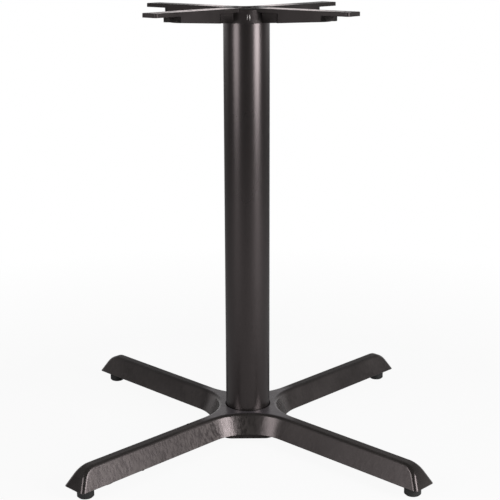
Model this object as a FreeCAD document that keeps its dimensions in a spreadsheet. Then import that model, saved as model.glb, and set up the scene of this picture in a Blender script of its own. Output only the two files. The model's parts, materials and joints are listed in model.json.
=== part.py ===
import FreeCAD, Part
import Sketcher
import math
import os

# Cast iron four star table base: a hollow cross foot on four levelling glides, a steel tube column
# and a cast iron spider for the tabletop, clamped together by one tie rod through the column.
# Origin: floor centre, under the column. +Z up. The four arms lie on the diagonals of X and Y.
# Lengths in millimetres, angles in degrees.

SIZES = [
    # Whole base
    ("overall_height", 736.6, "floor to the spider's top plane, 29 in"),
    ("spider_turn_angle", 2.8, "turn of the spider against the foot, as it was clamped"),
    ("cutting_allowance", 6.0, "how far a cutting profile reaches past a casting"),
    # Column
    ("column_diameter", 76.2, "3 in tube"),
    ("column_wall", 1.6, "tube wall"),
    # Foot casting
    ("foot_depth", 33.5, "lower rim to the top of the arms"),
    ("foot_reach", 386.5, "axis to the toe's lower edge"),
    ("foot_rim_width", 48.0, "arm's width at the lower rim"),
    ("foot_crown_width", 18.0, "arm's width at its top, before the shoulders are rounded"),
    ("foot_wall", 6.0, "side walls and roof of the arms"),
    ("foot_shoulder_radius", 7.5, "rounded shoulders along the arms"),
    ("toe_arc_radius", 30.0, "arc where an arm bends down to its toe"),
    ("toe_slope_angle", 59.0, "toe's slope below the arc"),
    ("stiffener_reach", 205.0, "axis to the cross rib in an arm"),
    ("stiffener_thickness", 6.0, "cross rib in an arm"),
    ("stiffener_rise", 9.0, "cross rib's lower corners above the rim"),
    ("stiffener_arch_radius", 22.0, "cross rib's arched lower edge"),
    # Hub of the foot
    ("hub_shoulder_width", 10.3, "crown's narrowest width round the socket, between two arms"),
    ("hub_socket_wall", 6.2, "square cup's thinnest wall round the socket"),
    ("hub_cup_corner_radius", 17.0, "cup's upright corners"),
    ("hub_cup_floor_gap", 3.0, "cup's lower edge above the floor"),
    ("hub_cup_wall", 6.0, "cup's thinnest wall round the nut"),
    ("hub_web_thickness", 10.0, "web that the column stands on"),
    ("socket_depth", 14.0, "column's depth in the foot"),
    ("socket_clearance", 1.2, "gap round the column in its socket"),
    # Spider casting
    ("spider_reach", 218.3, "axis to an arm's tip"),
    ("spider_arm_width", 32.0, "spider arm"),
    ("spider_plate_thickness", 6.6, "spider's top plate"),
    ("spider_tip_radius", 4.0, "tip's corners"),
    ("spider_blend_radius", 12.0, "hollow corner between two arms"),
    ("spider_edge_chamfer", 0.8, "plate's upper edge"),
    ("spider_bare_tip", 37.1, "arm's tip past the box's round outer end"),
    ("spider_box_start", 76.0, "axis to the inner end of the box under an arm"),
    ("spider_box_end_height", 1.4, "upright part of the box's outer end, under the plate"),
    ("spider_box_lower_radius", 8.0, "rounded lower corner of the box's outer end"),
    ("spider_box_root_drop", 22.0, "box's lower edge below the top plane at its inner end"),
    ("spider_box_corner_radius", 4.0, "upright corners of the box's inner end"),
    ("spider_box_wall", 4.5, "walls of the box, which is open below"),
    ("spider_web_thickness", 12.0, "web from the boss to a box"),
    ("spider_boss_overhang", 1.4, "boss past the column it sits on, all round"),
    ("spider_boss_top_drop", 1.0, "boss's upper face below the top plane, between the arms"),
    ("spider_boss_edge_radius", 2.5, "boss's rounded upper edge"),
    ("spider_boss_floor", 7.0, "boss between the nut well and the column"),
    ("nut_well_clearance", 7.0, "room round the washer in the well of the upper nut"),
    ("spigot_length", 14.0, "ring that centres the spider in the tube"),
    ("spigot_wall", 5.0, "ring's wall"),
    ("spigot_clearance", 0.4, "gap round the ring"),
    ("screw_hole_diameter", 6.5, "tabletop screw holes"),
    ("tip_hole_margin", 18.3, "arm's end to the screw hole in its bare tip"),
    ("arm_hole_reach", 130.0, "axis to the screw hole inside a box"),
    # Tie rod, its nuts and washers
    ("rod_diameter", 12.0, "M12 rod"),
    ("rod_bore_clearance", 1.5, "drilled holes, on the diameter"),
    ("rod_chamfer", 1.2, "rod's ends"),
    ("rod_end_drop", 1.5, "rod's upper end below the top plane"),
    ("upper_rod_projection", 2.5, "rod past the upper nut"),
    ("lower_rod_projection", 4.0, "rod past the lower nut"),
    ("nut_across_flats", 19.0, "M12 nut"),
    ("nut_height", 10.0, "M12 nut"),
    ("nut_chamfer", 1.4, "nut's corners"),
    ("nut_thread_clearance", 0.1, "on the diameter"),
    ("washer_diameter", 34.0, "wide washer"),
    ("washer_thickness", 3.0, "wide washer"),
    # Levelling glides
    ("glide_toe_margin", 24.3, "toe's lower edge to a glide's centre"),
    ("glide_thread_wall", 6.65, "casting from a glide's thread to the hollow of its arm"),
    ("glide_hole_roof", 9.5, "end of a glide's hole below the top of the arm"),
    ("glide_diameter", 27.0, "plastic foot"),
    ("glide_height", 12.5, "plastic foot"),
    ("glide_lower_chamfer", 2.0, "foot's lower edge"),
    ("glide_upper_chamfer", 1.0, "foot's upper edge"),
    ("glide_floor", 4.0, "plastic under the stud"),
    ("stud_diameter", 8.0, "M8 stud"),
    ("stud_thread_clearance", 0.1, "on the diameter"),
    ("stud_tip_clearance", 2.0, "hole past the stud's end when screwed home"),
    ("glide_hex_across_flats", 14.0, "hexagon above the foot"),
    ("glide_hex_height", 5.7, "hexagon above the foot"),
    ("glide_hex_gap", 0.3, "hexagon to the casting when screwed home"),
]

doc = FreeCAD.newDocument("FourStarTableBase")
sheet = doc.addObject("Spreadsheet::Sheet", "Sizes")
for row, (alias, value, note) in enumerate(SIZES, start=1):
    sheet.set(f"A{row}", note)
    sheet.set(f"B{row}", str(value))
    sheet.setAlias(f"B{row}", alias)
doc.recompute()


# Sizes that keep their expression

class Size:
    # A value from the sheet, or worked out from it, with the expression that says how.
    def __init__(self, value, text):
        self.value = value
        self.text = text

    def __add__(self, other):
        other = as_size(other)
        return Size(self.value + other.value, f"({self.text} + {other.text})")

    def __sub__(self, other):
        other = as_size(other)
        return Size(self.value - other.value, f"({self.text} - {other.text})")

    def __mul__(self, other):
        other = as_size(other)
        return Size(self.value * other.value, f"({self.text} * {other.text})")

    def __truediv__(self, other):
        other = as_size(other)
        return Size(self.value / other.value, f"({self.text} / {other.text})")

    def __neg__(self):
        return Size(-self.value, f"(-1 * {self.text})")


def as_size(number):
    if isinstance(number, Size):
        return number
    return Size(float(number), repr(float(number)))


def size(alias):
    return Size(float(sheet.get(alias)), f"Sizes.{alias}")


def sine(angle):
    return Size(math.sin(math.radians(angle.value)), f"sin({angle.text})")


def cosine(angle):
    return Size(math.cos(math.radians(angle.value)), f"cos({angle.text})")


def tangent(angle):
    return Size(math.tan(math.radians(angle.value)), f"tan({angle.text})")


def arc_tangent(ratio):
    return Size(math.degrees(math.atan(ratio.value)), f"atan({ratio.text})")


zero = as_size(0)


# Bodies, sketches and features

def new_body(name):
    body = doc.addObject("PartDesign::Body", name)
    body.Label = name
    return body


def origin_feature(body, role):
    for feature in body.Origin.OriginFeatures:
        if feature.Role == role:
            return feature
    raise ValueError(f"{body.Label} has no {role}")


def new_sketch(body, name, plane, offset=None):
    # A sketch on one of the body's own planes, offset along that plane's normal.
    sketch = body.newObject("Sketcher::SketchObject", name)
    sketch.AttachmentSupport = (origin_feature(body, plane), [""])
    sketch.MapMode = "FlatFace"
    if offset is not None:
        sketch.setExpression("AttachmentOffset.Base.z", offset.text)
    return sketch


def dimension(sketch, name, constraint, expression):
    index = sketch.addConstraint(constraint)
    sketch.renameConstraint(index, name)
    sketch.setExpression(f"Constraints.{name}", expression.text)


def add_circle(sketch, name, radius, x=zero, y=zero):
    centre = FreeCAD.Vector(x.value, y.value, 0)
    edge = sketch.addGeometry(Part.Circle(centre, FreeCAD.Vector(0, 0, 1), radius.value), False)
    dimension(sketch, f"{name}_radius", Sketcher.Constraint("Radius", edge, radius.value), radius)
    dimension(sketch, f"{name}_x", Sketcher.Constraint("DistanceX", -1, 1, edge, 3, x.value), x)
    dimension(sketch, f"{name}_y", Sketcher.Constraint("DistanceY", -1, 1, edge, 3, y.value), y)


def arc_between(start, end, radius, turn):
    # The shorter arc from start to end. It always runs anticlockwise in the sketch, so a right hand
    # turn is drawn from its end to its start.
    middle = (start + end) * 0.5
    chord = end - start
    rise = math.sqrt(max(radius ** 2 - (chord.Length / 2) ** 2, 0))
    left = FreeCAD.Vector(-chord.y, chord.x, 0).normalize()
    side = 1 if turn == "left" else -1
    centre = middle + left * (rise * side)
    first, last = (start, end) if turn == "left" else (end, start)
    first_angle = math.atan2(first.y - centre.y, first.x - centre.x)
    last_angle = math.atan2(last.y - centre.y, last.x - centre.x)
    if last_angle < first_angle:
        last_angle += 2 * math.pi
    circle = Part.Circle(centre, FreeCAD.Vector(0, 0, 1), radius)
    return Part.ArcOfCircle(circle, first_angle, last_angle)


def add_outline(sketch, corners, arcs=None):
    # A closed outline through the corners. arcs says which edges are round: the number of the corner
    # that the edge leaves, with its radius and the side that it turns to.
    arcs = arcs or {}
    points = [FreeCAD.Vector(x.value, y.value, 0) for x, y in corners]
    edges = []
    ends = []
    for number, start in enumerate(points):
        end = points[(number + 1) % len(points)]
        if number in arcs:
            radius, turn = arcs[number]
            edge = sketch.addGeometry(arc_between(start, end, radius.value, turn), False)
            rounding = Sketcher.Constraint("Radius", edge, radius.value)
            dimension(sketch, f"arc{number}_radius", rounding, radius)
            ends.append((1, 2) if turn == "left" else (2, 1))
        else:
            edge = sketch.addGeometry(Part.LineSegment(start, end), False)
            ends.append((1, 2))
        edges.append(edge)
    for number, (x, y) in enumerate(corners):
        last_edge = edges[number - 1]
        last_end = ends[number - 1][1]
        edge = edges[number]
        first_end = ends[number][0]
        sketch.addConstraint(Sketcher.Constraint("Coincident", last_edge, last_end, edge, first_end))
        across = Sketcher.Constraint("DistanceX", -1, 1, edge, first_end, x.value)
        up = Sketcher.Constraint("DistanceY", -1, 1, edge, first_end, y.value)
        dimension(sketch, f"corner{number}_x", across, x)
        dimension(sketch, f"corner{number}_y", up, y)


def extrude(body, kind, name, sketch, length, reversed_=False, side="One side", length2=None):
    # kind is Pad, which adds along the sketch's normal, or Pocket, which cuts against it.
    feature = body.newObject(f"PartDesign::{kind}", name)
    feature.Profile = (sketch, [""])
    feature.SideType = side
    feature.Reversed = reversed_
    feature.setExpression("Length", length.text)
    if length2 is not None:
        feature.setExpression("Length2", length2.text)
    doc.recompute()
    return feature


def revolve(body, kind, name, sketch):
    # kind is Revolution or Groove, round the body's own Z axis.
    feature = body.newObject(f"PartDesign::{kind}", name)
    feature.Profile = (sketch, [""])
    feature.ReferenceAxis = (origin_feature(body, "Z_Axis"), [""])
    feature.Angle = 360
    doc.recompute()
    return feature


def four_ways(body, name, features):
    pattern = body.newObject("PartDesign::PolarPattern", name)
    pattern.Originals = features
    pattern.Axis = (origin_feature(body, "Z_Axis"), [""])
    pattern.Angle = 360
    pattern.Occurrences = 4
    body.Tip = pattern
    doc.recompute()
    return pattern


def round_edges(body, name, radius, chosen):
    # Rounds the edges of the body so far for which chosen(edge) is true.
    base = body.Tip
    names = [f"Edge{number}" for number, edge in enumerate(base.Shape.Edges, start=1) if chosen(edge)]
    fillet = body.newObject("PartDesign::Fillet", name)
    fillet.Base = (base, names)
    fillet.setExpression("Radius", radius.text)
    doc.recompute()
    return fillet


def set_place(body, x=zero, y=zero, z=zero, turn=zero):
    about_z = FreeCAD.Rotation(FreeCAD.Vector(0, 0, 1), turn.value)
    body.Placement = FreeCAD.Placement(FreeCAD.Vector(), about_z)
    body.setExpression("Placement.Base.x", x.text)
    body.setExpression("Placement.Base.y", y.text)
    body.setExpression("Placement.Base.z", z.text)
    body.setExpression("Placement.Rotation.Angle", turn.text)


def same(first, second, limit=0.01):
    return abs(first - second) < limit


# Sizes and heights above the floor that several pieces share

arm_turn = as_size(45)
hexagon_half_turn = as_size(30)
cutting_allowance = size("cutting_allowance")
rim_height = size("glide_height") + size("glide_hex_height") + size("glide_hex_gap")
foot_depth = size("foot_depth")
crown_height = rim_height + foot_depth
column_bottom = crown_height - size("socket_depth")
hub_web_underside = column_bottom - size("hub_web_thickness")
column_radius = size("column_diameter") / 2
socket_radius = column_radius + size("socket_clearance")
rod_hole_radius = (size("rod_diameter") + size("rod_bore_clearance")) / 2
nut_bore_radius = (size("rod_diameter") + size("nut_thread_clearance")) / 2
washer_radius = size("washer_diameter") / 2
washer_thickness = size("washer_thickness")
clamped_height = washer_thickness + size("nut_height")
nut_well_depth = size("rod_end_drop") + size("upper_rod_projection") + clamped_height
boss_drop = nut_well_depth + size("spider_boss_floor")
column_top = size("overall_height") - boss_drop
upper_washer_seat = size("overall_height") - nut_well_depth
upper_nut_seat = upper_washer_seat + washer_thickness
lower_nut_top = hub_web_underside - washer_thickness
glide_circle_radius = size("foot_reach") - size("glide_toe_margin")
glide_hole_radius = (size("stud_diameter") + size("stud_thread_clearance")) / 2
glide_hole_depth = foot_depth - size("glide_hole_roof")


# Foot casting

def turned(corner):
    # The same corner a quarter turn further round.
    x, y = corner
    return (-y, x)


def four_times(quarter, quarter_arcs):
    # Repeats a quarter of an outline all the way round.
    corners = []
    arcs = {}
    for _ in range(4):
        for number, arc in quarter_arcs.items():
            arcs[len(corners) + number] = arc
        corners.extend(quarter)
        quarter = [turned(corner) for corner in quarter]
    return corners, arcs


def cross_plan(half_width, reach, corner_radius):
    # Plan of the cross, arms along X and Y, with a hollow round corner between two arms.
    hollow = half_width + corner_radius
    quarter = [(reach, -half_width), (reach, half_width), (hollow, half_width), (half_width, hollow)]
    return four_times(quarter, {2: (corner_radius, "right")})


def arm_corner_radius(half_rim, half_crown):
    # The hollow corner between two arms at the rim. It leaves the crown its width round the socket.
    rim_edge = socket_radius + size("hub_shoulder_width") + half_rim - half_crown
    diagonal = as_size(1) / cosine(arm_turn)
    return (rim_edge - half_rim * diagonal) / (diagonal - 1)


def cup_plan_corners(cup_half):
    # Plan of the square cup. Its corners point along the arms.
    corner = size("hub_cup_corner_radius")
    arc_centre = (cup_half - corner) / cosine(arm_turn)
    arc_half = corner * cosine(arm_turn)
    quarter = [(arc_centre + arc_half, -arc_half), (arc_centre + arc_half, arc_half)]
    return four_times(quarter, {0: (corner, "left")})


def cut_toes(body):
    # The arms bend down to their toes in an arc and a straight slope.
    past = cutting_allowance
    reach = size("foot_reach")
    slope = size("toe_slope_angle")
    radius = size("toe_arc_radius")
    arc_drop = radius * (as_size(1) - cosine(slope))
    arc_end = reach - (foot_depth - arc_drop) / tangent(slope)
    arc_start = arc_end - radius * sine(slope)
    profile = new_sketch(body, "ToeProfile", "XZ_Plane")
    beyond = reach + past * 2
    corners = [
        (arc_start, foot_depth),
        (arc_end, foot_depth - arc_drop),
        (reach + past / tangent(slope), -past),
        (beyond, -past),
        (beyond, foot_depth + past),
        (arc_start, foot_depth + past),
    ]
    add_outline(profile, corners, {0: (radius, "right")})
    cut = extrude(body, "Pocket", "ToeCut", profile, size("foot_rim_width") * 2, side="Symmetric")
    return four_ways(body, "ToeCuts", [cut])


def lean_sides(body, block, lean, end):
    # Casting draft: every side wall leans in from the rim, which stays as drawn.
    def is_side(face):
        centre = face.CenterOfMass
        level = same(centre.z, 0) or same(centre.z, foot_depth.value)
        at_arm_end = same(max(abs(centre.x), abs(centre.y)), end.value)
        return not level and not at_arm_end

    names = [f"Face{number}" for number, face in enumerate(block.Shape.Faces, start=1) if is_side(face)]
    draft = body.newObject("PartDesign::Draft", "SideLean")
    draft.Base = (block, names)
    draft.NeutralPlane = (origin_feature(body, "XY_Plane"), [""])
    draft.setExpression("Angle", lean.text)
    doc.recompute()
    if draft.Shape.isNull() or draft.Shape.Volume > block.Shape.Volume:
        draft.Reversed = True
        doc.recompute()
    return draft


def is_shoulder(edge):
    # The crown's long edges, along the arms, round the hollow corners and down the toes.
    box = edge.BoundBox
    centre = edge.CenterOfMass
    on_rim = same(box.ZMax, 0)
    whole_height = same(box.ZLength, foot_depth.value)
    across_arm = same(min(abs(centre.x), abs(centre.y)), 0)
    return not on_rim and not whole_height and not across_arm


def make_foot():
    body = new_body("base_casting")
    half_rim = size("foot_rim_width") / 2
    half_crown = size("foot_crown_width") / 2
    wall = size("foot_wall")
    lean = arc_tangent((half_rim - half_crown) / foot_depth)
    corner_radius = arm_corner_radius(half_rim, half_crown)
    cup_half = socket_radius + size("hub_socket_wall")
    cup_drop = rim_height - size("hub_cup_floor_gap")

    plan = new_sketch(body, "CrossPlan", "XY_Plane")
    end = size("foot_reach") + cutting_allowance
    add_outline(plan, *cross_plan(half_rim, end, corner_radius))
    block = extrude(body, "Pad", "CrossBlock", plan, foot_depth)
    lean_sides(body, block, lean, end)
    cut_toes(body)
    round_edges(body, "Shoulders", size("foot_shoulder_radius"), is_shoulder)

    # Hollow underside, up to the roof and out to the solid toes that hold the glides' threads
    side_wall = wall / cosine(lean)
    hollow_plan = new_sketch(body, "HollowPlan", "XY_Plane")
    hollow_end = glide_circle_radius - glide_hole_radius - size("glide_thread_wall")
    add_outline(hollow_plan, *cross_plan(half_rim - side_wall, hollow_end, corner_radius + side_wall))
    hollow = body.newObject("PartDesign::Pocket", "Hollow")
    hollow.Profile = (hollow_plan, [""])
    hollow.Reversed = True
    hollow.setExpression("Length", (foot_depth - wall).text)
    hollow.setExpression("TaperAngle", (-lean).text)
    doc.recompute()

    # Cross ribs with an arched lower edge
    rise = size("stiffener_rise")
    roof = foot_depth - wall / 2

    def half_width_at(level):
        return half_rim - level * tangent(lean) - wall / 2

    rib_profile = new_sketch(body, "StiffenerProfile", "YZ_Plane", size("stiffener_reach"))
    corners = [
        (-half_width_at(rise), rise),
        (half_width_at(rise), rise),
        (half_width_at(roof), roof),
        (-half_width_at(roof), roof),
    ]
    add_outline(rib_profile, corners, {0: (size("stiffener_arch_radius"), "right")})
    rib = extrude(body, "Pad", "Stiffener", rib_profile, size("stiffener_thickness"), side="Symmetric")
    four_ways(body, "Stiffeners", [rib])

    # Hub: cup, column socket, nut recess and rod hole
    cup_plan = new_sketch(body, "CupPlan", "XY_Plane")
    add_outline(cup_plan, *cup_plan_corners(cup_half))
    extrude(body, "Pad", "Cup", cup_plan, foot_depth - wall / 2, side="Two sides", length2=cup_drop)
    socket_plan = new_sketch(body, "SocketPlan", "XY_Plane", foot_depth)
    add_circle(socket_plan, "socket", socket_radius)
    extrude(body, "Pocket", "Socket", socket_plan, size("socket_depth"))
    recess_plan = new_sketch(body, "NutRecessPlan", "XY_Plane", -cup_drop)
    add_circle(recess_plan, "recess", cup_half - size("hub_cup_wall"))
    recess_height = hub_web_underside - rim_height + cup_drop
    extrude(body, "Pocket", "NutRecess", recess_plan, recess_height, reversed_=True)
    rod_plan = new_sketch(body, "RodHolePlan", "XY_Plane", foot_depth)
    add_circle(rod_plan, "hole", rod_hole_radius)
    extrude(body, "Pocket", "RodHole", rod_plan, foot_depth + cup_drop)

    # Threaded holes for the glides
    thread_plan = new_sketch(body, "GlideHolePlan", "XY_Plane")
    add_circle(thread_plan, "hole", glide_hole_radius, x=glide_circle_radius)
    hole = extrude(body, "Pocket", "GlideHole", thread_plan, glide_hole_depth, reversed_=True)
    four_ways(body, "GlideHoles", [hole])

    set_place(body, z=rim_height, turn=arm_turn)
    return body


# Column

def make_ring(name, outer_radius, inner_radius, height, bottom):
    body = new_body(name)
    plan = new_sketch(body, f"{name}_plan", "XY_Plane")
    add_circle(plan, "outer", outer_radius)
    add_circle(plan, "inner", inner_radius)
    extrude(body, "Pad", f"{name}_wall", plan, height)
    set_place(body, z=bottom)
    return body


# Spider casting

def spider_plan():
    # Plan of the top plate: four arms in a cross with hollow corners between them.
    half = size("spider_arm_width") / 2
    reach = size("spider_reach")
    tip = size("spider_tip_radius")
    blend = size("spider_blend_radius")
    quarter = [
        (reach - tip, -half),
        (reach, tip - half),
        (reach, half - tip),
        (reach - tip, half),
        (half + blend, half),
        (half, half + blend),
    ]
    return four_times(quarter, {0: (tip, "left"), 2: (tip, "left"), 4: (blend, "right")})


def box_plan(box_reach, inset):
    # Plan of the box under an arm, or of its hollow: a round outer end and rounded inner corners.
    half = size("spider_arm_width") / 2 - inset
    start = size("spider_box_start") + inset
    corner = size("spider_box_corner_radius")
    end_centre = box_reach - size("spider_arm_width") / 2
    corners = [
        (start + corner, -half),
        (end_centre, -half),
        (end_centre + half, zero),
        (end_centre, half),
        (start + corner, half),
        (start, half - corner),
        (start, corner - half),
    ]
    arcs = {1: (half, "left"), 2: (half, "left"), 4: (corner, "left"), 6: (corner, "left")}
    return corners, arcs


def make_spider_arm(body):
    # Under each arm a box with thin walls, shallower towards the tip, and a web from it to the boss.
    plate = size("spider_plate_thickness")
    wall = size("spider_box_wall")
    start = size("spider_box_start")
    reach = size("spider_reach") - size("spider_bare_tip")
    root_drop = size("spider_box_root_drop")
    lower_radius = size("spider_box_lower_radius")
    arc_top = -(plate + size("spider_box_end_height"))
    boss_radius = column_radius + size("spider_boss_overhang")

    block_plan = new_sketch(body, "BoxPlan", "XY_Plane")
    add_outline(block_plan, *box_plan(reach, zero))
    block = extrude(body, "Pad", "Box", block_plan, root_drop, reversed_=True)
    hollow_plan = new_sketch(body, "BoxHollowPlan", "XY_Plane", -plate)
    add_outline(hollow_plan, *box_plan(reach, wall))
    hollow = extrude(body, "Pocket", "BoxHollow", hollow_plan, root_drop)

    # The lower edge rises towards the tip and turns up in an arc
    slope_profile = new_sketch(body, "BoxSlopeProfile", "XZ_Plane")
    beyond = reach + cutting_allowance
    below = -(root_drop + cutting_allowance)
    corners = [
        (reach, arc_top),
        (reach - lower_radius, arc_top - lower_radius),
        (start, -root_drop),
        (start, below),
        (beyond, below),
        (beyond, arc_top),
    ]
    add_outline(slope_profile, corners, {0: (lower_radius, "right")})
    cut_width = size("spider_arm_width") + cutting_allowance
    slope = extrude(body, "Pocket", "BoxSlope", slope_profile, cut_width, side="Symmetric")

    web_profile = new_sketch(body, "WebProfile", "XZ_Plane")
    inside_plate = plate / -2
    corners = [
        (boss_radius - wall, inside_plate),
        (start + wall / 2, inside_plate),
        (start, -root_drop),
        (boss_radius, -boss_drop),
        (boss_radius - wall, -boss_drop),
    ]
    add_outline(web_profile, corners)
    web = extrude(body, "Pad", "Web", web_profile, size("spider_web_thickness"), side="Symmetric")

    hole_plan = new_sketch(body, "ScrewHolePlan", "XY_Plane")
    hole_radius = size("screw_hole_diameter") / 2
    add_circle(hole_plan, "tip_hole", hole_radius, x=size("spider_reach") - size("tip_hole_margin"))
    add_circle(hole_plan, "arm_hole", hole_radius, x=size("arm_hole_reach"))
    holes = extrude(body, "Pocket", "ScrewHoles", hole_plan, plate)
    four_ways(body, "Arms", [block, hollow, slope, web, holes])


def make_spider():
    body = new_body("top_spider")
    plate = size("spider_plate_thickness")
    boss_radius = column_radius + size("spider_boss_overhang")
    boss_top = -size("spider_boss_top_drop")
    boss_edge = size("spider_boss_edge_radius")

    plan = new_sketch(body, "SpiderPlan", "XY_Plane")
    add_outline(plan, *spider_plan())
    top_plate = extrude(body, "Pad", "TopPlate", plan, plate, reversed_=True)
    upper_edges = [
        f"Edge{number}"
        for number, edge in enumerate(top_plate.Shape.Edges, start=1)
        if same(edge.BoundBox.ZMin, 0)
    ]
    chamfer = body.newObject("PartDesign::Chamfer", "UpperEdge")
    chamfer.Base = (top_plate, upper_edges)
    chamfer.setExpression("Size", size("spider_edge_chamfer").text)
    doc.recompute()
    make_spider_arm(body)

    # The round boss stands out between the arms, a little below their tops
    boss_profile = new_sketch(body, "BossProfile", "XZ_Plane")
    corners = [
        (zero, -boss_drop),
        (boss_radius, -boss_drop),
        (boss_radius, boss_top - boss_edge),
        (boss_radius - boss_edge, boss_top),
        (zero, boss_top),
    ]
    add_outline(boss_profile, corners, {2: (boss_edge, "left")})
    revolve(body, "Revolution", "Boss", boss_profile)
    well_plan = new_sketch(body, "NutWellPlan", "XY_Plane")
    add_circle(well_plan, "well", washer_radius + size("nut_well_clearance"))
    extrude(body, "Pocket", "NutWell", well_plan, nut_well_depth)
    rod_plan = new_sketch(body, "SpiderRodHolePlan", "XY_Plane")
    add_circle(rod_plan, "hole", rod_hole_radius)
    extrude(body, "Pocket", "SpiderRodHole", rod_plan, boss_drop * 2)
    spigot_plan = new_sketch(body, "SpigotPlan", "XY_Plane", -boss_drop)
    spigot_radius = column_radius - size("column_wall") - size("spigot_clearance")
    add_circle(spigot_plan, "outer", spigot_radius)
    add_circle(spigot_plan, "inner", spigot_radius - size("spigot_wall"))
    extrude(body, "Pad", "Spigot", spigot_plan, size("spigot_length"), reversed_=True)
    set_place(body, z=size("overall_height"), turn=arm_turn + size("spider_turn_angle"))
    return body


# Tie rod and nuts

def make_rod(name, bottom, top):
    body = new_body(name)
    radius = size("rod_diameter") / 2
    chamfer = size("rod_chamfer")
    length = top - bottom
    profile = new_sketch(body, f"{name}_profile", "XZ_Plane")
    corners = [
        (zero, zero),
        (radius - chamfer, zero),
        (radius, chamfer),
        (radius, length - chamfer),
        (radius - chamfer, length),
        (zero, length),
    ]
    add_outline(profile, corners)
    revolve(body, "Revolution", f"{name}_bar", profile)
    set_place(body, z=bottom)
    return body


def hexagon(across_flats):
    half = across_flats / 2
    half_side = half * tangent(hexagon_half_turn)
    point = half / cosine(hexagon_half_turn)
    right_side = [(half, -half_side), (half, half_side), (zero, point)]
    left_side = [(-half, half_side), (-half, -half_side), (zero, -point)]
    return right_side + left_side


def make_nut(name, seat, upwards):
    # A hexagon nut whose outer corners are turned off. seat is the height of the face on the washer.
    body = new_body(name)
    height = size("nut_height")
    chamfer = size("nut_chamfer")
    plan = new_sketch(body, f"{name}_plan", "XY_Plane")
    add_outline(plan, hexagon(size("nut_across_flats")))
    add_circle(plan, "bore", nut_bore_radius)
    extrude(body, "Pad", f"{name}_block", plan, height)
    outside = size("nut_across_flats")
    flat = size("nut_across_flats") / 2
    outer_face = height if upwards else zero
    inwards = -chamfer if upwards else chamfer
    corner = new_sketch(body, f"{name}_corner", "XZ_Plane")
    cut_end = outer_face + inwards * (outside - flat) / flat
    add_outline(corner, [(flat, outer_face), (outside, outer_face), (outside, cut_end)])
    revolve(body, "Groove", f"{name}_chamfer", corner)
    set_place(body, z=seat if upwards else seat - height)
    return body


# Levelling glides

def make_glide(position, angle):
    # A moulded foot on a stud. The stud's hexagon stops just short of the casting when screwed home.
    radius = size("glide_diameter") / 2
    height = size("glide_height")
    lower_chamfer = size("glide_lower_chamfer")
    upper_chamfer = size("glide_upper_chamfer")
    floor = size("glide_floor")
    stud_radius = size("stud_diameter") / 2
    stud_end = rim_height + glide_hole_depth - size("stud_tip_clearance")
    x = glide_circle_radius * cosine(angle)
    y = glide_circle_radius * sine(angle)

    foot = new_body(f"glide_foot_{position}")
    profile = new_sketch(foot, f"FootProfile_{position}", "XZ_Plane")
    corners = [
        (zero, zero),
        (radius - lower_chamfer, zero),
        (radius, lower_chamfer),
        (radius, height - upper_chamfer),
        (radius - upper_chamfer, height),
        (stud_radius, height),
        (stud_radius, floor),
        (zero, floor),
    ]
    add_outline(profile, corners)
    revolve(foot, "Revolution", f"Foot_{position}", profile)
    set_place(foot, x=x, y=y)

    stud = new_body(f"glide_stud_{position}")
    shank_plan = new_sketch(stud, f"ShankPlan_{position}", "XY_Plane", floor)
    add_circle(shank_plan, "shank", stud_radius)
    extrude(stud, "Pad", f"Shank_{position}", shank_plan, stud_end - floor)
    hexagon_plan = new_sketch(stud, f"HexagonPlan_{position}", "XY_Plane", height)
    add_outline(hexagon_plan, hexagon(size("glide_hex_across_flats")))
    extrude(stud, "Pad", f"Hexagon_{position}", hexagon_plan, size("glide_hex_height"))
    set_place(stud, x=x, y=y)
    return [foot, stud]


column_bore = column_radius - size("column_wall")
column_length = column_top - column_bottom
rod_bottom = lower_nut_top - size("nut_height") - size("lower_rod_projection")
rod_top = size("overall_height") - size("rod_end_drop")

pieces = [
    make_foot(),
    make_ring("column_tube", column_radius, column_bore, column_length, column_bottom),
    make_spider(),
    make_rod("tie_rod", rod_bottom, rod_top),
    make_ring("upper_washer", washer_radius, rod_hole_radius, washer_thickness, upper_washer_seat),
    make_nut("upper_nut", upper_nut_seat, upwards=True),
    make_ring("lower_washer", washer_radius, rod_hole_radius, washer_thickness, lower_nut_top),
    make_nut("lower_nut", lower_nut_top, upwards=False),
]
corner_angles = {"front_left": -135, "front_right": -45, "back_right": 45, "back_left": 135}
for position, angle in corner_angles.items():
    pieces.extend(make_glide(position, as_size(angle)))

doc.recompute()
for item in doc.Objects:
    if "Invalid" in item.State or "Error" in item.State:
        raise RuntimeError(f"{item.Label} failed: {item.State}")
for piece in pieces:
    if piece.Shape.isNull() or not piece.Shape.isValid() or len(piece.Shape.Solids) != 1:
        raise RuntimeError(f"{piece.Label} is not one sound solid")

os.makedirs("parts", exist_ok=True)
for piece in pieces:
    piece.Shape.exportStep(os.path.join("parts", f"{piece.Label}.step"))
    print(piece.Label, round(piece.Shape.Volume / 1000, 1), "cm3")
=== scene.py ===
import bpy
import json
import math
from mathutils import Matrix, Vector

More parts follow.
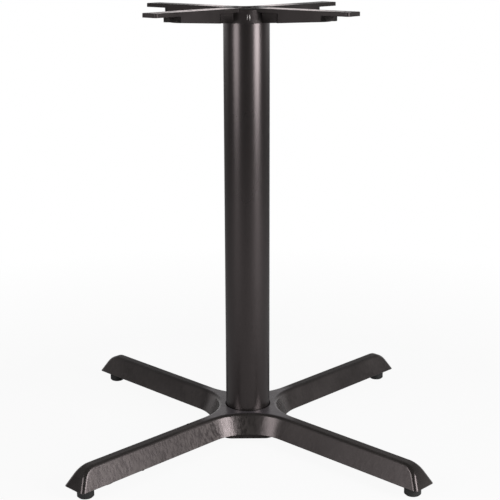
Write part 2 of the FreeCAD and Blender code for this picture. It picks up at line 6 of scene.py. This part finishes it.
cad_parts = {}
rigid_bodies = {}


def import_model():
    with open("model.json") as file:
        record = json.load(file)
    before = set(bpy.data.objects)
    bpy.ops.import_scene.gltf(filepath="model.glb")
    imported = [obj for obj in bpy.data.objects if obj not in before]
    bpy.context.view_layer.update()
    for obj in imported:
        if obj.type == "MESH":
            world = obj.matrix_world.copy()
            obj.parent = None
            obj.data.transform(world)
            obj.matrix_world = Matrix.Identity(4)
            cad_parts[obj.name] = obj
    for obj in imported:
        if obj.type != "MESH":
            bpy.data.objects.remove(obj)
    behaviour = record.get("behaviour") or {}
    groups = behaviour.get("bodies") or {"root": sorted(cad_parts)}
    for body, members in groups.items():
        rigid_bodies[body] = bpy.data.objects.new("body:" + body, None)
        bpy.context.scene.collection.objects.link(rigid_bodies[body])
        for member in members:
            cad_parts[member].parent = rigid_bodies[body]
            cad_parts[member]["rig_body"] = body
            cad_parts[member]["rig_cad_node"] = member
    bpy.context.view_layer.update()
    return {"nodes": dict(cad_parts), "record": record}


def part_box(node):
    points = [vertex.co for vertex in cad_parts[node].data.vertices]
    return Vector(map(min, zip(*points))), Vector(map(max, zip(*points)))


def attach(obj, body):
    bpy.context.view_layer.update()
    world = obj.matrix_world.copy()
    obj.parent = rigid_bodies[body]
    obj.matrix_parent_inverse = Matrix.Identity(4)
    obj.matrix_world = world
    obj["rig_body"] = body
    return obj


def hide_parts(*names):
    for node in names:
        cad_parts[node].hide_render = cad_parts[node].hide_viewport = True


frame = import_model()
nodes = frame["nodes"]
print("solids loaded:", len(nodes))


# small helpers

def deselectAll():
    if bpy.context.object and bpy.context.object.mode != "OBJECT":
        bpy.ops.object.mode_set(mode="OBJECT")
    bpy.ops.object.select_all(action="DESELECT")


def makeActive(piece):
    deselectAll()
    piece.select_set(True)
    bpy.context.view_layer.objects.active = piece


def placeInMesh(piece):
    makeActive(piece)
    bpy.ops.object.transform_apply(location=True, rotation=True, scale=True)


def applyModifier(piece, kind, name, **settings):
    modifier = piece.modifiers.new(name, kind)
    for key, value in settings.items():
        setattr(modifier, key, value)
    makeActive(piece)
    bpy.ops.object.modifier_apply(modifier=modifier.name)


def selectEdges(piece, rule):
    # leaves the piece in edit mode with the edges that fit the rule selected
    makeActive(piece)
    bpy.ops.object.mode_set(mode="EDIT")
    bpy.ops.mesh.select_mode(type="EDGE")
    bpy.ops.mesh.select_all(action="DESELECT")
    bpy.ops.object.mode_set(mode="OBJECT")
    for edge in piece.data.edges:
        edge.select = rule(edge)
    bpy.ops.object.mode_set(mode="EDIT")


def backToObject():
    bpy.ops.object.mode_set(mode="OBJECT")


def smooth(piece, under):
    makeActive(piece)
    bpy.ops.object.shade_smooth_by_angle(angle=math.radians(under))


def joinPieces(main, others):
    for other in others:
        applyModifier(main, "BOOLEAN", "join", operation="UNION", object=other, solver="EXACT")
        bpy.data.objects.remove(other)
    return main


# shader helpers: each adds its nodes to a tree and gives back the socket to link on

def ramp(tree, source, low, high, start=0.3, end=0.7):
    node = tree.nodes.new("ShaderNodeMapRange")
    node.inputs["From Min"].default_value = start
    node.inputs["From Max"].default_value = end
    node.inputs["To Min"].default_value = low
    node.inputs["To Max"].default_value = high
    tree.links.new(source, node.inputs["Value"])
    return node.outputs["Result"]


def calculate(tree, operation, first, second):
    node = tree.nodes.new("ShaderNodeMath")
    node.operation = operation
    for socket, value in zip(node.inputs, (first, second)):
        if isinstance(value, (int, float)):
            socket.default_value = value
        else:
            tree.links.new(value, socket)
    return node.outputs[0]


def product(tree, first, *others):
    for other in others:
        first = calculate(tree, "MULTIPLY", first, other)
    return first


def splitVector(tree, vector):
    node = tree.nodes.new("ShaderNodeSeparateXYZ")
    tree.links.new(vector, node.inputs[0])
    return node.outputs


# camera, fitted to the photograph

cameraSettings = {
    "place": (-0.0139, -1.96525, 0.8446),  # m
    "heading": 0.541,  # degrees from +Y towards +X
    "pitch": 14.676,  # degrees down
    "roll": -0.177,
    "lens": 85.78,  # mm
    "sensor": 36,
}


def addCamera(settings):
    bpy.ops.object.camera_add(location=settings["place"])
    camera = bpy.context.object
    camera.name = "photoCamera"
    heading = Matrix.Rotation(math.radians(-settings["heading"]), 3, "Z")
    pitch = Matrix.Rotation(math.radians(90 - settings["pitch"]), 3, "X")
    roll = Matrix.Rotation(math.radians(settings["roll"]), 3, "Z")
    camera.rotation_euler = (heading @ pitch @ roll).to_euler()
    camera.data.lens = settings["lens"]
    camera.data.sensor_width = settings["sensor"]
    bpy.context.scene.camera = camera


addCamera(cameraSettings)
print("camera set")


# studio: pale floor, white surroundings, two soft lights in front

studioSettings = {
    "floorSize": 16.0,
    "floorColour": (0.52, 0.52, 0.52),
    "floorWhitening": (0.93, 1.0),  # share of plain white that the camera sees, near the foot and far off
    "shadowReach": (0.55, 1.3),  # m from the column, where the floor turns plain white
    "surroundingLight": 0.24,
    "mirroredBehind": 1.0,  # the white wall behind, as the coat mirrors it
    "mirroredAround": 0.08,
    "wallEdge": (0.05, 0.45),  # where the wall behind starts, 1 is straight behind
    "wallTop": (0.10, 0.75),  # and where it fades out upwards, 1 is straight up
    "lampSize": (0.90, 0.98),
    "lampAim": (0, 0, 0.50),
    "lamps": {
        "rightLamp": {"place": (1.53, -1.20, 0.88), "power": 42},
        "leftLamp": {"place": (-1.53, -1.20, 0.88), "power": 20},
    },
}


def addFloor(settings):
    deselectAll()
    bpy.ops.mesh.primitive_plane_add(size=settings["floorSize"], location=(0, 0, 0))
    floor = bpy.context.object
    floor.name = "floor"
    material = bpy.data.materials.new("paleFloor")
    material.use_nodes = True
    tree = material.node_tree
    tree.nodes.clear()
    matt = tree.nodes.new("ShaderNodeBsdfDiffuse")
    matt.inputs["Color"].default_value = (*settings["floorColour"], 1)
    white = tree.nodes.new("ShaderNodeEmission")
    place = tree.nodes.new("ShaderNodeTexCoord")
    away = tree.nodes.new("ShaderNodeVectorMath")
    away.operation = "LENGTH"
    tree.links.new(place.outputs["Object"], away.inputs[0])
    ray = tree.nodes.new("ShaderNodeLightPath")
    whitening = ramp(tree, away.outputs["Value"], *settings["floorWhitening"], *settings["shadowReach"])
    share = product(tree, ray.outputs["Is Camera Ray"], whitening)
    floorMix = tree.nodes.new("ShaderNodeMixShader")
    out = tree.nodes.new("ShaderNodeOutputMaterial")
    tree.links.new(share, floorMix.inputs[0])
    tree.links.new(matt.outputs[0], floorMix.inputs[1])
    tree.links.new(white.outputs[0], floorMix.inputs[2])
    tree.links.new(floorMix.outputs[0], out.inputs["Surface"])
    floor.data.materials.append(material)


def addSurroundings(settings):
    # plain white to the camera, a dim even light on the object, and a white wall behind in its reflections
    world = bpy.data.worlds.new("whiteStudio")
    bpy.context.scene.world = world
    world.use_nodes = True
    tree = world.node_tree
    tree.nodes.clear()
    light = tree.nodes.new("ShaderNodeBackground")
    light.inputs["Strength"].default_value = settings["surroundingLight"]
    white = tree.nodes.new("ShaderNodeBackground")
    mirrored = tree.nodes.new("ShaderNodeBackground")
    for node in (light, white, mirrored):
        node.inputs["Color"].default_value = (1, 1, 1, 1)
    direction = splitVector(tree, tree.nodes.new("ShaderNodeTexCoord").outputs["Generated"])
    behind = ramp(tree, direction["Y"], 0, 1, *settings["wallEdge"])
    under = ramp(tree, direction["Z"], 1, 0, *settings["wallTop"])
    onWall = product(tree, behind, under)
    strength = ramp(tree, onWall, settings["mirroredAround"], settings["mirroredBehind"], 0, 1)
    tree.links.new(strength, mirrored.inputs["Strength"])
    ray = tree.nodes.new("ShaderNodeLightPath").outputs
    shinyOrClear = calculate(tree, "MAXIMUM", ray["Is Glossy Ray"], ray["Is Transmission Ray"])
    shinyMix = tree.nodes.new("ShaderNodeMixShader")
    cameraMix = tree.nodes.new("ShaderNodeMixShader")
    out = tree.nodes.new("ShaderNodeOutputWorld")
    tree.links.new(shinyOrClear, shinyMix.inputs[0])
    tree.links.new(light.outputs[0], shinyMix.inputs[1])
    tree.links.new(mirrored.outputs[0], shinyMix.inputs[2])
    tree.links.new(ray["Is Camera Ray"], cameraMix.inputs[0])
    tree.links.new(shinyMix.outputs[0], cameraMix.inputs[1])
    tree.links.new(white.outputs[0], cameraMix.inputs[2])
    tree.links.new(cameraMix.outputs[0], out.inputs["Surface"])


def addLamps(settings):
    for name, lamp in settings["lamps"].items():
        bpy.ops.object.light_add(type="AREA", location=lamp["place"])
        light = bpy.context.object
        light.name = name
        light.data.shape = "RECTANGLE"
        light.data.size, light.data.size_y = settings["lampSize"]
        light.data.energy = lamp["power"]
        light.visible_camera = False
        toAim = Vector(settings["lampAim"]) - Vector(lamp["place"])
        light.rotation_euler = toAim.to_track_quat("-Z", "Y").to_euler()


addFloor(studioSettings)
addSurroundings(studioSettings)
addLamps(studioSettings)
bpy.context.scene.view_settings.view_transform = "Standard"
print("studio set")


# finishes

def newFinish(name, **shader):
    material = bpy.data.materials.new(name)
    material.use_nodes = True
    principled = material.node_tree.nodes["Principled BSDF"]
    for socket, value in shader.items():
        principled.inputs[socket.replace("_", " ")].default_value = value
    return material, material.node_tree, principled


def plugIn(tree, principled, **sources):
    for socket, source in sources.items():
        tree.links.new(source, principled.inputs[socket.replace("_", " ")])


def objectPlace(tree, scale=(1, 1, 1)):
    # object coordinates, scaled where a pattern is drawn out or an axis is left out
    place = tree.nodes.new("ShaderNodeTexCoord")
    mapping = tree.nodes.new("ShaderNodeMapping")
    mapping.inputs["Scale"].default_value = scale
    tree.links.new(place.outputs["Object"], mapping.inputs["Vector"])
    return mapping.outputs["Vector"]


def levelness(tree):
    # 0 on upright walls, 1 on level faces
    geometry = tree.nodes.new("ShaderNodeNewGeometry")
    return calculate(tree, "ABSOLUTE", splitVector(tree, geometry.outputs["True Normal"])["Z"], 0)


def fromAxis(tree):
    # distance from the column's axis
    length = tree.nodes.new("ShaderNodeVectorMath")
    length.operation = "LENGTH"
    tree.links.new(objectPlace(tree, (1, 1, 0)), length.inputs[0])
    return length.outputs["Value"]


def noise(tree, scale, detail, stretch=(1, 1, 1)):
    texture = tree.nodes.new("ShaderNodeTexNoise")
    texture.inputs["Scale"].default_value = scale
    texture.inputs["Detail"].default_value = detail
    tree.links.new(objectPlace(tree, stretch), texture.inputs["Vector"])
    return texture.outputs["Fac"]


def mix(tree, share, first, second):
    # the first number or colour, turning to the second by share
    node = tree.nodes.new("ShaderNodeMix")
    if isinstance(second, tuple):
        node.data_type = "RGBA"
        second = (*second, 1)
    node.inputs["B"].default_value = second
    if isinstance(first, tuple):
        node.inputs["A"].default_value = (*first, 1)
    else:
        tree.links.new(first, node.inputs["A"])
    tree.links.new(share, node.inputs["Factor"])
    return node.outputs["Result"]


def bump(tree, height, distance, strength, under=None):
    node = tree.nodes.new("ShaderNodeBump")
    node.inputs["Strength"].default_value = strength
    node.inputs["Distance"].default_value = distance
    tree.links.new(height, node.inputs["Height"])
    if under is not None:
        tree.links.new(under, node.inputs["Normal"])
    return node.outputs["Normal"]


# a pattern is given as its noise scale per m, its detail and where needed its stretch,
# and a bump as its height in m and its strength

coatSheen = (1.0, 0.86, 0.87, 1.0)  # the black coats mirror a little warm

footFinish = {
    "specular": 0.6,
    "dark": (0.0110, 0.0100, 0.0094),
    "light": (0.0200, 0.0180, 0.0168),
    "patches": (14, 4),
    "roughness": (0.34, 0.46),
    "streakAndSheenGrey": (0.0900, 0.0800, 0.0760),  # grey of ground iron in the side streaks, with painted sheen: most of it on the front left arm, whose side faces the stronger right lamp
    "groundRoughness": 0.10,
    "frontLeft": (-0.13, -0.05),  # m, x + y, low only on the front left arm, which gets the most painted sheen as its side faces the stronger right lamp
    "elsewhere": 0.12,  # share of the grey on the other three
    "midArmGrey": 0.50,  # share of the grey halfway along an arm
    "nearHub": (0.10, 0.19),  # m from the axis, where the grey fades
    "nearToe": (0.23, 0.34),  # and where it comes back
    "sideSlope": (0.43, 0.49),  # the sides lean a little less than this, the toes more
    "topSlope": (0.90, 0.99),
    "hubReach": (0.088, 0.118),  # m from the axis, within which the coat is smoother
    "toeReach": (0.335, 0.360),  # and past which it is smoother too
    "smoothRoughness": -0.12,
    "armTopRoughness": 0.22,
    "hubTopReflection": (0.0650, 0.0580, 0.0640),  # its flat top, a painted reflection of the white wall behind
    "greyShare": 0.8,
    "streaks": (250, 3, (1, 1, 0.08)),
    "streakContrast": (0.40, 0.60),
    "streakBump": (0.00014, 0.6),
    "sandGrain": (700, 4),
    "sandBump": (0.00002, 0.6),
    "blotches": (55, 2),
    "blotchBump": (0.0006, 0.5),
}


def makeFootFinish(settings):
    # satin black coat over a sand casting whose upright sides were ground, with painted sheen on the side
    # that faces the stronger lamp and a painted reflection on the hub's flat top
    material, tree, principled = newFinish("coatedFoot", Specular_IOR_Level=settings["specular"],
                                           Specular_Tint=coatSheen)
    patches = noise(tree, *settings["patches"])
    place = splitVector(tree, objectPlace(tree))
    distance = fromAxis(tree)
    level = levelness(tree)

    # grinding streaks on the sides, with painted sheen: the grey is strongest on the front left arm, whose
    # side faces the stronger right lamp, and lighter towards the arms' ends
    onSide = ramp(tree, level, 1, 0, *settings["sideSlope"])
    diagonal = calculate(tree, "ADD", place["X"], place["Y"])
    # painted sheen: more grey on the front left arm's side, which faces the stronger right lamp
    litArmShare = ramp(tree, diagonal, 1, settings["elsewhere"], *settings["frontLeft"])
    inner = ramp(tree, distance, 1, settings["midArmGrey"], *settings["nearHub"])
    outer = ramp(tree, distance, settings["midArmGrey"], 1, *settings["nearToe"])
    ends = calculate(tree, "MAXIMUM", inner, outer)
    streaks = ramp(tree, noise(tree, *settings["streaks"]), 0, 1, *settings["streakContrast"])
    streaksAndSheen = product(tree, streaks, product(tree, onSide, litArmShare, ends))

    onHub = ramp(tree, distance, 1, 0, *settings["hubReach"])
    onToe = ramp(tree, distance, 0, 1, *settings["toeReach"])
    onTop = ramp(tree, level, 0, 1, *settings["topSlope"])
    hubTop = product(tree, onHub, onTop)
    armTop = calculate(tree, "SUBTRACT", onTop, hubTop)
    offSide = calculate(tree, "SUBTRACT", 1, onSide)
    smoother = calculate(tree, "MAXIMUM", onHub, product(tree, onToe, offSide))

    coat = mix(tree, ramp(tree, patches, 0, 1), settings["dark"], settings["light"])
    # painted reflection: the hub's flat top turns grey-purple, as it mirrors the white wall behind
    withHubReflection = mix(tree, product(tree, hubTop, settings["greyShare"]), coat, settings["hubTopReflection"])
    colour = mix(tree, product(tree, streaksAndSheen, settings["greyShare"]), withHubReflection, settings["streakAndSheenGrey"])
    rough = ramp(tree, patches, *settings["roughness"])
    changes = {"groundRoughness": streaksAndSheen, "smoothRoughness": smoother, "armTopRoughness": armTop}
    for change, share in changes.items():
        rough = calculate(tree, "ADD", rough, product(tree, share, settings[change]))
    waves = bump(tree, noise(tree, *settings["blotches"]), *settings["blotchBump"])
    sand = bump(tree, noise(tree, *settings["sandGrain"]), *settings["sandBump"], waves)
    surface = bump(tree, streaksAndSheen, *settings["streakBump"], sand)
    plugIn(tree, principled, Base_Color=colour, Roughness=rough, Normal=surface)
    return material


spiderFinish = {
    "specular": 0.42,
    "dark": (0.0060, 0.0054, 0.0050),
    "light": (0.0110, 0.0098, 0.0092),
    "patches": (22, 4),
    "roughness": (0.38, 0.50),
    "grain": (480, 4),
    "grainBump": (0.00012, 0.6),
    "grainInReflection": 0.15,  # share of the grain that is left in the painted reflection
    "reflectionGrey": (0.66, 0.63, 0.62),  # painted reflection: bright bare-metal grey on the flat tops round the boss, standing in for the white wall behind as the tops mirror it
    "reflectionRoughness": 0.17,
    "topSlope": (0.93, 0.99),
    "reflectionFrom": (0.036, 0.046),  # m from the column's axis, at the well's edge
    "reflectionReach": (0.105, 0.168),  # m from the axis, level with it; nearer at the back, further at the front
    "frontShare": 0.383,
    "ragged": 0.10,  # m, how far the patch's edge wanders
    "smears": (55, 6),
    "speckle": (420, 6),
    "leastReflection": 0.35,
    "speckleContrast": (0.36, 0.60),
    "ridgeShare": 0.7,  # painted highlight on the two ridges that stand out of the boss
    "ridgeFrom": (0.0397, 0.0402),  # m from the axis
    "ridgeTo": (0.0415, 0.0430),
    "ridgeSide": (0.0070, 0.0080),  # m to either side of the middle
}


def makeSpiderFinish(settings):
    # plain coat over rough cast iron, with a painted reflection on the flat tops round the boss: bright
    # bare-metal grey where the tops mirror the white wall behind, and a painted highlight on the boss's two
    # ridges
    material, tree, principled = newFinish("coatedSpider", Specular_IOR_Level=settings["specular"],
                                           Specular_Tint=coatSheen)
    patches = noise(tree, *settings["patches"])
    place = splitVector(tree, objectPlace(tree))
    distance = fromAxis(tree)

    # painted reflection on the flat tops, as bright bare metal standing in for the white wall they mirror,
    # with a ragged edge that lies further out on the front arms
    onTop = ramp(tree, levelness(tree), 0, 1, *settings["topSlope"])
    forwards = product(tree, place["Y"], settings["frontShare"])
    wander = calculate(tree, "SUBTRACT", noise(tree, *settings["smears"]), 0.5)  # to both sides
    edge = calculate(tree, "ADD", calculate(tree, "ADD", distance, forwards),
                     product(tree, wander, settings["ragged"]))
    inwards = ramp(tree, edge, 1, 0, *settings["reflectionReach"])
    pastWell = ramp(tree, distance, 0, 1, *settings["reflectionFrom"])
    speckle = noise(tree, *settings["speckle"])
    patchy = ramp(tree, speckle, settings["leastReflection"], 1, *settings["speckleContrast"])
    tops = product(tree, onTop, inwards, pastWell, patchy)

    # and a painted highlight on the two ridges on the boss, the only iron that stands out of its front
    outOfBoss = ramp(tree, distance, 0, settings["ridgeShare"], *settings["ridgeFrom"])
    nearBoss = ramp(tree, distance, 1, 0, *settings["ridgeTo"])
    sideways = calculate(tree, "ABSOLUTE", place["X"], 0)
    inMiddle = ramp(tree, sideways, 1, 0, *settings["ridgeSide"])
    paintedReflection = calculate(tree, "MAXIMUM", tops, product(tree, outOfBoss, nearBoss, inMiddle))

    coat = mix(tree, ramp(tree, patches, 0, 1), settings["dark"], settings["light"])
    # painted reflection and highlight: the tops and ridges turn to bright metal grey
    colour = mix(tree, paintedReflection, coat, settings["reflectionGrey"])
    rough = mix(tree, paintedReflection, ramp(tree, patches, *settings["roughness"]), settings["reflectionRoughness"])
    grainLeft = ramp(tree, paintedReflection, 1, settings["grainInReflection"], 0, 1)
    grain = product(tree, noise(tree, *settings["grain"]), grainLeft)
    plugIn(tree, principled, Base_Color=colour, Metallic=paintedReflection, Roughness=rough,
           Normal=bump(tree, grain, *settings["grainBump"]))
    return material


tubeFinish = {
    "specular": 0.85,
    "dark": (0.0052, 0.0046, 0.0043),
    "light": (0.0076, 0.0068, 0.0063),
    "clouds": (9, 3, (1, 1, 0.3)),
    "roughness": (0.27, 0.31),
    "peel": (420, 2),
    "peelBump": (0.00002, 0.6),
}


def makeTubeFinish(settings):
    # powder coat on drawn tube, with a slight orange peel
    material, tree, principled = newFinish("coatedTube", Specular_IOR_Level=settings["specular"],
                                           Specular_Tint=coatSheen)
    clouds = noise(tree, *settings["clouds"])
    peel = noise(tree, *settings["peel"])
    plugIn(tree, principled,
           Base_Color=mix(tree, ramp(tree, clouds, 0, 1), settings["dark"], settings["light"]),
           Roughness=ramp(tree, clouds, *settings["roughness"]),
           Normal=bump(tree, peel, *settings["peelBump"]))
    return material


zincFinish = {
    "dark": (0.42, 0.42, 0.43),
    "light": (0.62, 0.62, 0.63),
    "clouds": (160, 4),
    "roughness": (0.28, 0.46),
    "drawn": (1400, 3, (1, 1, 0.06)),
    "drawnBump": (0.00002, 0.5),
}


def makeZincFinish(settings):
    # dull bright zinc, faintly drawn out along the bar
    material, tree, principled = newFinish("zincPlate", Metallic=1.0)
    clouds = noise(tree, *settings["clouds"])
    drawn = noise(tree, *settings["drawn"])
    plugIn(tree, principled,
           Base_Color=mix(tree, ramp(tree, clouds, 0, 1), settings["dark"], settings["light"]),
           Roughness=ramp(tree, drawn, *settings["roughness"]),
           Normal=bump(tree, drawn, *settings["drawnBump"]))
    return material


nylonFinish = {
    "specular": 0.4,
    "dark": (0.012, 0.012, 0.012),
    "light": (0.024, 0.024, 0.024),
    "clouds": (60, 3),
    "roughness": (0.42, 0.55),
    "spark": (1800, 2),
    "sparkBump": (0.00004, 0.6),
}


def makeNylonFinish(settings):
    # moulded nylon with a fine spark texture
    material, tree, principled = newFinish("blackNylon", Specular_IOR_Level=settings["specular"])
    clouds = noise(tree, *settings["clouds"])
    spark = noise(tree, *settings["spark"])
    plugIn(tree, principled,
           Base_Color=mix(tree, ramp(tree, clouds, 0, 1), settings["dark"], settings["light"]),
           Roughness=ramp(tree, clouds, *settings["roughness"]),
           Normal=bump(tree, spark, *settings["sparkBump"]))
    return material


finishes = {
    "black_iron": makeFootFinish(footFinish),
    "black_spider": makeSpiderFinish(spiderFinish),
    "black_tube": makeTubeFinish(tubeFinish),
    "zinc": makeZincFinish(zincFinish),
    "black_nylon": makeNylonFinish(nylonFinish),
}


def dress(piece, finishName):
    piece.data.materials.clear()
    piece.data.materials.append(finishes[finishName])


for subpart in frame["record"]["subparts"]:
    dress(nodes[subpart["node"]], subpart["material_slot"])
print("finishes made")


# the two iron castings, with their sharp edges softened as in a sand mould

# lumps of iron that the mould left: their place, half length, width and height, and their turn
footLumps = {
    "rimLump": {"place": (-0.1701, -0.2027, 0.0187), "size": (0.0030, 0.0012, 0.0011), "turn": 45},
    "toeLumpLeft": {"place": (-0.2190, -0.2514, 0.0187), "size": (0.0080, 0.0012, 0.0009), "turn": 45},
    "toeLumpRight": {"place": (0.2191, -0.2478, 0.0187), "size": (0.0080, 0.0012, 0.0008), "turn": -45},
    "crownLump": {"place": (-0.1017, -0.0949, 0.0516), "size": (0.0036, 0.0020, 0.0011), "turn": 45},
}

# and two thin upright ridges on the front of the spider's boss
bossRidges = {
    "thinRidge": {"place": (0.0011, -0.0394, 0.7225), "size": (0.0007, 0.0012, 0.0048), "turn": 0},
    "thickRidge": {"place": (0.0050, -0.0391, 0.7222), "size": (0.0010, 0.0014, 0.0054), "turn": 0},
}

castings = {
    "crossFoot": {
        "node": "base_casting",
        "finish": "black_iron",
        "lumps": footLumps,
        "edge": 0.0008,  # m taken off a sharp edge
        "fromAngle": 38,  # degrees, where an edge counts as sharp
        "shortest": 0,  # m, shorter edges stay as they are
    },
    "spider": {
        "node": "top_spider",
        "finish": "black_spider",
        "lumps": bossRidges,
        "edge": 0.0006,
        "fromAngle": 50,
        "shortest": 0.003,
    },
}

castingMesh = {"mergeWithin": 0.000005, "flatWithin": 0.5, "smoothUnder": 50}  # m and degrees


def copyNode(name, nodeName, mesh):
    # a merged copy of the solid, with its flat faces whole
    makeActive(nodes[nodeName])
    bpy.ops.object.duplicate()
    copy = bpy.context.object
    copy.name = name
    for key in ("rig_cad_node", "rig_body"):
        del copy[key]
    bpy.ops.object.mode_set(mode="EDIT")
    bpy.ops.mesh.select_all(action="SELECT")
    bpy.ops.mesh.remove_doubles(threshold=mesh["mergeWithin"])
    bpy.ops.mesh.select_all(action="SELECT")
    bpy.ops.mesh.dissolve_limited(angle_limit=math.radians(mesh["flatWithin"]))
    backToObject()
    return copy


def softenEdges(casting, settings):
    makeActive(casting)
    bpy.ops.object.mode_set(mode="EDIT")
    bpy.ops.mesh.select_mode(type="EDGE")
    bpy.ops.mesh.select_all(action="DESELECT")
    bpy.ops.mesh.edges_select_sharp(sharpness=math.radians(settings["fromAngle"]))
    backToObject()
    sharp = {edge.index for edge in casting.data.edges if edge.select}
    points = [vertex.co.copy() for vertex in casting.data.vertices]

    def longAndSharp(edge):
        first, second = edge.vertices
        return edge.index in sharp and (points[first] - points[second]).length > settings["shortest"]

    selectEdges(casting, longAndSharp)
    bpy.ops.mesh.bevel(offset=settings["edge"], segments=2, affect="EDGES", clamp_overlap=False)
    backToObject()


def addLump(name, settings):
    deselectAll()
    bpy.ops.mesh.primitive_ico_sphere_add(subdivisions=3, radius=1, location=settings["place"],
                                          rotation=(0, 0, math.radians(settings["turn"])),
                                          scale=settings["size"])
    lump = bpy.context.object
    lump.name = name
    placeInMesh(lump)
    return lump


for name, settings in castings.items():
    casting = copyNode(name, settings["node"], castingMesh)
    softenEdges(casting, settings)
    joinPieces(casting, [addLump(*lump) for lump in settings["lumps"].items()])
    smooth(casting, castingMesh["smoothUnder"])
    applyModifier(casting, "WEIGHTED_NORMAL", "flatFacesFlat", keep_sharp=True)
    dress(casting, settings["finish"])
    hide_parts(settings["node"])
    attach(casting, "frame")
    print(name, "softened,", len(casting.data.polygons), "faces")


# threads, cut into the rod's ends and the studs

threadSettings = {
    "sides": 48,
    "ringsPerTurn": 6,
    "mostRings": 100,
    "depth": 0.6,  # of the pitch
    "smoothUnder": 30,  # degrees, flatter edges are smoothed over
}


def addRound(radius, bottom, top, sides=threadSettings["sides"]):
    deselectAll()
    bpy.ops.mesh.primitive_cylinder_add(vertices=sides, radius=radius, depth=top - bottom,
                                        location=(0, 0, (bottom + top) / 2))
    piece = bpy.context.object
    placeInMesh(piece)
    return piece


def addThreadedBar(name, radius, bottom, top, pitch, chamfer):
    # a bar whose rings of vertices are pulled in along a helix
    bar = addRound(radius, bottom, top)
    bar.name = name
    points = bar.data.vertices

    def upright(edge):
        first, second = edge.vertices
        return abs(points[first].co.z - points[second].co.z) > chamfer

    selectEdges(bar, upright)
    rings = round((top - bottom) / pitch * threadSettings["ringsPerTurn"])
    bpy.ops.mesh.subdivide(number_cuts=min(threadSettings["mostRings"], rings))
    backToObject()
    depth = pitch * threadSettings["depth"]
    for vertex in bar.data.vertices:
        x, y, z = vertex.co
        around = math.atan2(y, x) / (2 * math.pi)
        along = (z / pitch - around) % 1
        groove = depth * abs(2 * along - 1)
        endCut = max(0, chamfer - min(z - bottom, top - z))
        share = (radius - max(groove, endCut)) / radius
        vertex.co = (x * share, y * share, z)
    return bar


rodSettings = {
    "threadLength": 0.028,
    "pitch": 0.00175,
    "chamfer": 0.0012,
    "overlap": 0.0024,  # m, how far the plain shank runs into each thread
    "shankShare": 0.999,  # of the thread's radius
}


def addTieRod(settings):
    low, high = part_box("tie_rod")
    radius = (high.x - low.x) / 2
    shankBottom = low.z + settings["threadLength"]
    shankTop = high.z - settings["threadLength"]
    thread = (settings["pitch"], settings["chamfer"])
    lower = addThreadedBar("tieRod", radius, low.z, shankBottom, *thread)
    upper = addThreadedBar("upperThread", radius, shankTop, high.z, *thread)
    shank = addRound(radius * settings["shankShare"], shankBottom - settings["overlap"],
                     shankTop + settings["overlap"])
    rod = joinPieces(lower, [shank, upper])
    smooth(rod, threadSettings["smoothUnder"])
    return rod


rod = addTieRod(rodSettings)
dress(rod, "zinc")
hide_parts("tie_rod")
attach(rod, "frame")
print("tie rod threaded")


studSettings = {
    "pitch": 0.00125,
    "chamfer": 0.001,
    "shankRadius": 0.004,
    "hexagonSides": 6,
    "hexagonFlats": 0.014,
    "hexagonTop": 0.0182,
    "footTop": 0.0125,
    "rounding": 0.0004,
    "overlap": 0.0004,  # m, how far thread and shank run into the hexagon
}


def addStud(settings, bottom, top):
    # stands on the origin's axis
    thread = addThreadedBar("stud", settings["shankRadius"], settings["hexagonTop"] - settings["overlap"],
                            top, settings["pitch"], settings["chamfer"])
    corner = settings["hexagonFlats"] / 2 / math.cos(math.pi / settings["hexagonSides"])
    hexagon = addRound(corner, settings["footTop"], settings["hexagonTop"], settings["hexagonSides"])
    applyModifier(hexagon, "BEVEL", "rounding", width=settings["rounding"], segments=2, limit_method="ANGLE")
    shank = addRound(settings["shankRadius"], bottom, settings["footTop"] + settings["overlap"])
    stud = joinPieces(thread, [hexagon, shank])
    smooth(stud, threadSettings["smoothUnder"])
    return stud


def copyToGlide(stud, name, low, high):
    makeActive(stud)
    bpy.ops.object.duplicate()
    copy = bpy.context.object
    copy.name = name
    copy.location = ((low.x + high.x) / 2, (low.y + high.y) / 2, 0)
    placeInMesh(copy)
    return copy


low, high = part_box("glide_stud_front_left")
patternStud = addStud(studSettings, low.z, high.z)
for place in ("front_left", "front_right", "back_right", "back_left"):
    nodeName = "glide_stud_" + place
    stud = copyToGlide(patternStud, "stud_" + place, *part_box(nodeName))
    dress(stud, "zinc")
    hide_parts(nodeName)
    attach(stud, "glide_" + place)
bpy.data.objects.remove(patternStud)
print("glide studs threaded")
